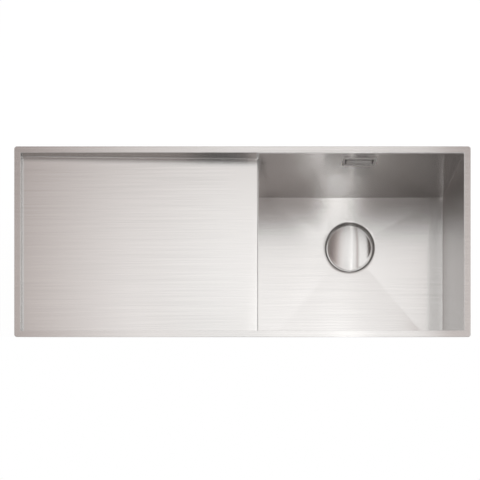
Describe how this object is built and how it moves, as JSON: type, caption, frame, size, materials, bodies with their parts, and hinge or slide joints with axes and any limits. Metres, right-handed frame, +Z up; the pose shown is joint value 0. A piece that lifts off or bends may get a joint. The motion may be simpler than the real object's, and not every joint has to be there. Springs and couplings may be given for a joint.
{
  "type": "kitchen sink with drainboard",
  "caption": "Inset stainless kitchen sink: flat rim, sloping drainboard tray, deep square bowl with basket strainer waste, overflow and swing-claw clamps",
  "frame": {"origin": "centre of the worktop cut-out, on the worktop's top plane, which is the underside of the rim's seal", "axes": "+X towards the bowl's side, +Y to the back, +Z up"},
  "size_m": [1.03, 0.4468, 0.3024],
  "materials": {
    "brushed_sheet": "long straight brushing, satin",
    "brushed_rim": "brushed along the rim, satin",
    "brushed_cap": "fine straight brushing",
    "brushed_trim": "fine brushing, bright edges",
    "polished_steel": "smooth spun steel",
    "zinc_steel": "zinc plated",
    "black_rubber": "matt black rubber",
    "foam_rubber": "closed-cell foam strip",
    "grey_plastic": "moulded plastic, fine texture",
    "hose_plastic": "flexible ribbed plastic",
    "damping_pad": "matt bitumen-rubber pad"
  },
  "bodies": {
    "sink": {"rim_frame": "brushed_rim", "drainboard_pan": "brushed_sheet", "bowl_shell": "brushed_sheet", "strainer_flange": "polished_steel", "overflow_bezel": "brushed_trim", "overflow_cover": "brushed_trim", "overflow_screw": "zinc_steel", "waste_screw": "polished_steel", "rim_seal": "foam_rubber", "flange_seal": "black_rubber", "body_seal": "black_rubber", "overflow_seal": "black_rubber", "waste_body": "grey_plastic", "overflow_box": "grey_plastic", "overflow_hose": "hose_plastic", "hose_nut_upper": "grey_plastic", "hose_nut_lower": "grey_plastic", "stiffener_left": "zinc_steel", "stiffener_right": "zinc_steel", "drainboard_pad": "damping_pad", "bowl_bottom_pad": "damping_pad", "bowl_front_pad": "damping_pad", "bowl_right_pad": "damping_pad", "bowl_left_pad": "damping_pad", "clamp_back_1_bracket": "zinc_steel", "clamp_back_2_bracket": "zinc_steel", "clamp_back_3_bracket": "zinc_steel", "clamp_front_1_bracket": "zinc_steel", "clamp_front_2_bracket": "zinc_steel", "clamp_front_3_bracket": "zinc_steel"},
    "basket": {"strainer_basket": "polished_steel", "basket_seal": "black_rubber"},
    "cap": {"strainer_cap": "brushed_cap"},
    "clamp_back_1_screw": {"clamp_back_1_screw": "zinc_steel"},
    "clamp_back_1_nut": {"clamp_back_1_nut": "zinc_steel"},
    "clamp_back_1_claw": {"clamp_back_1_claw": "zinc_steel"},
    "clamp_back_2_screw": {"clamp_back_2_screw": "zinc_steel"},
    "clamp_back_2_nut": {"clamp_back_2_nut": "zinc_steel"},
    "clamp_back_2_claw": {"clamp_back_2_claw": "zinc_steel"},
    "clamp_back_3_screw": {"clamp_back_3_screw": "zinc_steel"},
    "clamp_back_3_nut": {"clamp_back_3_nut": "zinc_steel"},
    "clamp_back_3_claw": {"clamp_back_3_claw": "zinc_steel"},
    "clamp_front_1_screw": {"clamp_front_1_screw": "zinc_steel"},
    "clamp_front_1_nut": {"clamp_front_1_nut": "zinc_steel"},
    "clamp_front_1_claw": {"clamp_front_1_claw": "zinc_steel"},
    "clamp_front_2_screw": {"clamp_front_2_screw": "zinc_steel"},
    "clamp_front_2_nut": {"clamp_front_2_nut": "zinc_steel"},
    "clamp_front_2_claw": {"clamp_front_2_claw": "zinc_steel"},
    "clamp_front_3_screw": {"clamp_front_3_screw": "zinc_steel"},
    "clamp_front_3_nut": {"clamp_front_3_nut": "zinc_steel"},
    "clamp_front_3_claw": {"clamp_front_3_claw": "zinc_steel"}
  },
  "joints": [
    {"name": "basket_lift", "type": "slide", "parent": "sink", "child": "basket", "axis": [0, 0, 1], "range_m": [0, 0.3]},
    {"name": "cap_lift", "type": "slide", "parent": "basket", "child": "cap", "axis": [0, 0, 1], "range_m": [0, 0.3]},
    {"name": "clamp_back_1_turn", "type": "hinge", "parent": "sink", "child": "clamp_back_1_screw", "pos_m": [-0.44, 0.2059, -0.046], "axis": [0, 0, 1], "range_deg": [0, 9360.5]},
    {"name": "clamp_back_1_climb", "type": "slide", "parent": "sink", "child": "clamp_back_1_nut", "axis": [0, 0, 1], "range_m": [0, 0.0182]},
    {"name": "clamp_back_1_swing", "type": "hinge", "parent": "clamp_back_1_nut", "child": "clamp_back_1_claw", "pos_m": [-0.44, 0.2059, -0.042], "axis": [0, 0, 1], "range_deg": [0, 90]},
    {"name": "clamp_back_2_turn", "type": "hinge", "parent": "sink", "child": "clamp_back_2_screw", "pos_m": [-0.06, 0.2059, -0.046], "axis": [0, 0, 1], "range_deg": [0, 9360.5]},
    {"name": "clamp_back_2_climb", "type": "slide", "parent": "sink", "child": "clamp_back_2_nut", "axis": [0, 0, 1], "range_m": [0, 0.0182]},
    {"name": "clamp_back_2_swing", "type": "hinge", "parent": "clamp_back_2_nut", "child": "clamp_back_2_claw", "pos_m": [-0.06, 0.2059, -0.042], "axis": [0, 0, 1], "range_deg": [0, 90]},
    {"name": "clamp_back_3_turn", "type": "hinge", "parent": "sink", "child": "clamp_back_3_screw", "pos_m": [0.42, 0.2059, -0.046], "axis": [0, 0, 1], "range_deg": [0, 9360.5]},
    {"name": "clamp_back_3_climb", "type": "slide", "parent": "sink", "child": "clamp_back_3_nut", "axis": [0, 0, 1], "range_m": [0, 0.0182]},
    {"name": "clamp_back_3_swing", "type": "hinge", "parent": "clamp_back_3_nut", "child": "clamp_back_3_claw", "pos_m": [0.42, 0.2059, -0.042], "axis": [0, 0, 1], "range_deg": [0, 90]},
    {"name": "clamp_front_1_turn", "type": "hinge", "parent": "sink", "child": "clamp_front_1_screw", "pos_m": [-0.44, -0.2059, -0.046], "axis": [0, 0, 1], "range_deg": [0, 9360.5]},
    {"name": "clamp_front_1_climb", "type": "slide", "parent": "sink", "child": "clamp_front_1_nut", "axis": [0, 0, 1], "range_m": [0, 0.0182]},
    {"name": "clamp_front_1_swing", "type": "hinge", "parent": "clamp_front_1_nut", "child": "clamp_front_1_claw", "pos_m": [-0.44, -0.2059, -0.042], "axis": [0, 0, 1], "range_deg": [0, 90]},
    {"name": "clamp_front_2_turn", "type": "hinge", "parent": "sink", "child": "clamp_front_2_screw", "pos_m": [-0.06, -0.2059, -0.046], "axis": [0, 0, 1], "range_deg": [0, 9360.5]},
    {"name": "clamp_front_2_climb", "type": "slide", "parent": "sink", "child": "clamp_front_2_nut", "axis": [0, 0, 1], "range_m": [0, 0.0182]},
    {"name": "clamp_front_2_swing", "type": "hinge", "parent": "clamp_front_2_nut", "child": "clamp_front_2_claw", "pos_m": [-0.06, -0.2059, -0.042], "axis": [0, 0, 1], "range_deg": [0, 90]},
    {"name": "clamp_front_3_turn", "type": "hinge", "parent": "sink", "child": "clamp_front_3_screw", "pos_m": [0.42, -0.2059, -0.046], "axis": [0, 0, 1], "range_deg": [0, 9360.5]},
    {"name": "clamp_front_3_climb", "type": "slide", "parent": "sink", "child": "clamp_front_3_nut", "axis": [0, 0, 1], "range_m": [0, 0.0182]},
    {"name": "clamp_front_3_swing", "type": "hinge", "parent": "clamp_front_3_nut", "child": "clamp_front_3_claw", "pos_m": [0.42, -0.2059, -0.042], "axis": [0, 0, 1], "range_deg": [0, 90]}
  ],
  "couplings": [
    {"joint": "clamp_back_1_turn", "follows": "clamp_back_1_climb", "rad_per_m": 8976},
    {"joint": "clamp_back_2_turn", "follows": "clamp_back_2_climb", "rad_per_m": 8976},
    {"joint": "clamp_back_3_turn", "follows": "clamp_back_3_climb", "rad_per_m": 8976},
    {"joint": "clamp_front_1_turn", "follows": "clamp_front_1_climb", "rad_per_m": 8976},
    {"joint": "clamp_front_2_turn", "follows": "clamp_front_2_climb", "rad_per_m": 8976},
    {"joint": "clamp_front_3_turn", "follows": "clamp_front_3_climb", "rad_per_m": 8976}
  ]
}
